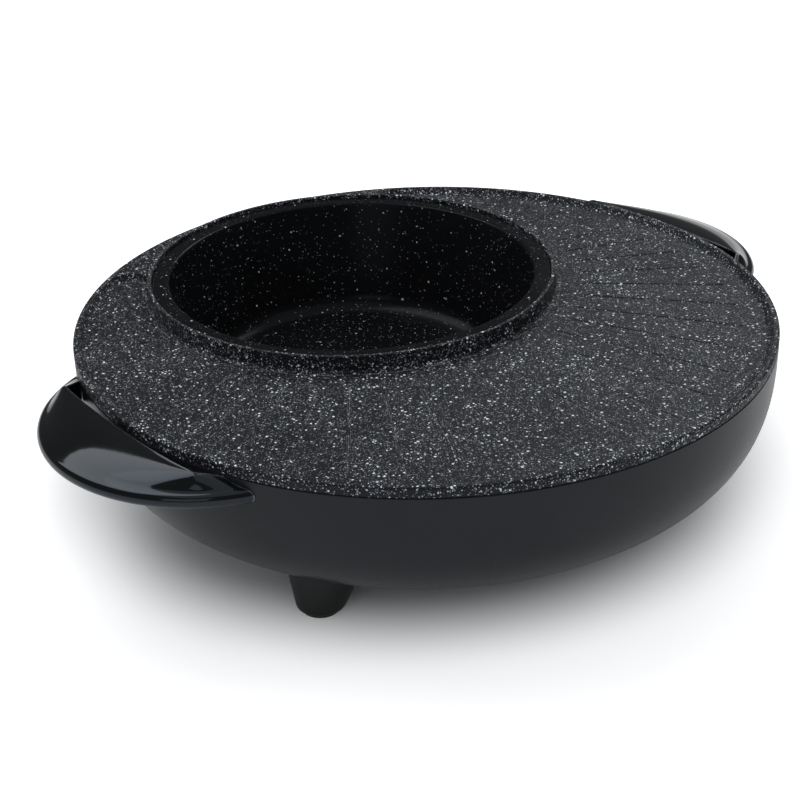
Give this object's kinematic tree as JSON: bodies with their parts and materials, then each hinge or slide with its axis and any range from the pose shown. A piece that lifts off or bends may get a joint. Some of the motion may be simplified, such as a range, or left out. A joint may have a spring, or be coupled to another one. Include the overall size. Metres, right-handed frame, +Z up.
{
  "type": "hot pot grill combo",
  "caption": "Round electric tabletop grill plate with a sunken crescent grill floor and an off-centre lift-out hot pot, on a deep bowl housing with wing handles and feet.",
  "frame": {"origin": "on the table, under the centre of the round grill plate", "axes": "+Z up, +X through the middle of the right handle, +Y towards the side where the pot sits"},
  "size_m": [0.48, 0.4, 0.1159],
  "materials": {
    "stone_coat": "cast aluminium with a dark grey non-stick coating speckled with white",
    "pot_coat": "pressed aluminium with a black non-stick coating",
    "bowl": "satin black moulded plastic",
    "gloss_black": "glossy black moulded plastic",
    "foot": "fine textured black plastic",
    "matte_black": "matte black plastic",
    "pad": "matte rubber",
    "sheet_steel": "bright pressed sheet",
    "heating_tube": "heat-darkened stainless tube",
    "screw": "zinc-plated steel",
    "pin": "plated brass",
    "ceramic": "white heat-proof ceramic",
    "red_lens": "translucent red",
    "green_lens": "translucent green"
  },
  "bodies": {
    "base": {"bowl_housing": "bowl", "bottom_cover": "matte_black", "cover_screw_1": "screw", "cover_screw_2": "screw", "cover_screw_3": "screw", "cover_screw_4": "screw", "foot_front_left": "foot", "foot_front_right": "foot", "foot_back_right": "foot", "foot_back_left": "foot", "foot_pad_front_left": "pad", "foot_pad_front_right": "pad", "foot_pad_back_right": "pad", "foot_pad_back_left": "pad", "foot_screw_front_left": "screw", "foot_screw_front_right": "screw", "foot_screw_back_right": "screw", "foot_screw_back_left": "screw", "reflector_pan": "sheet_steel", "grill_element": "heating_tube", "pot_element": "heating_tube", "element_clip_1": "sheet_steel", "element_clip_2": "sheet_steel", "element_clip_3": "sheet_steel", "element_clip_4": "sheet_steel", "element_clip_5": "sheet_steel", "grill_thermostat": "sheet_steel", "pot_thermostat": "sheet_steel", "control_housing": "bowl", "control_fascia": "gloss_black", "panel_screw_a": "screw", "panel_screw_b": "screw", "grill_lens": "red_lens", "pot_lens": "green_lens", "power_inlet": "matte_black", "inlet_pin_live": "pin", "inlet_pin_neutral": "pin", "inlet_pin_earth": "pin", "terminal_block": "ceramic", "thermal_fuse": "ceramic", "handle_right": "gloss_black", "handle_left": "gloss_black", "handle_right_screw_a": "screw", "handle_right_screw_b": "screw", "handle_left_screw_a": "screw", "handle_left_screw_b": "screw"},
    "plate": {"grill_plate": "stone_coat"},
    "pot": {"hot_pot": "pot_coat"},
    "grill_dial": {"grill_knob": "gloss_black", "grill_spindle": "screw"},
    "pot_dial": {"pot_knob": "gloss_black", "pot_spindle": "screw"}
  },
  "joints": [
    {"name": "plate_lift", "type": "slide", "parent": "base", "child": "plate", "axis": [0, 0, 1], "range_m": [0, 0.1]},
    {"name": "pot_lift", "type": "slide", "parent": "plate", "child": "pot", "axis": [0, 0, 1], "range_m": [0, 0.1]},
    {"name": "grill_dial_turn", "type": "hinge", "parent": "base", "child": "grill_dial", "pos_m": [0.16857, 0.12615, 0.068], "axis": [-0.7071, -0.7071, 0], "range_deg": [0, 250]},
    {"name": "pot_dial_turn", "type": "hinge", "parent": "base", "child": "pot_dial", "pos_m": [0.12615, 0.16857, 0.068], "axis": [-0.7071, -0.7071, 0], "range_deg": [0, 250]}
  ]
}
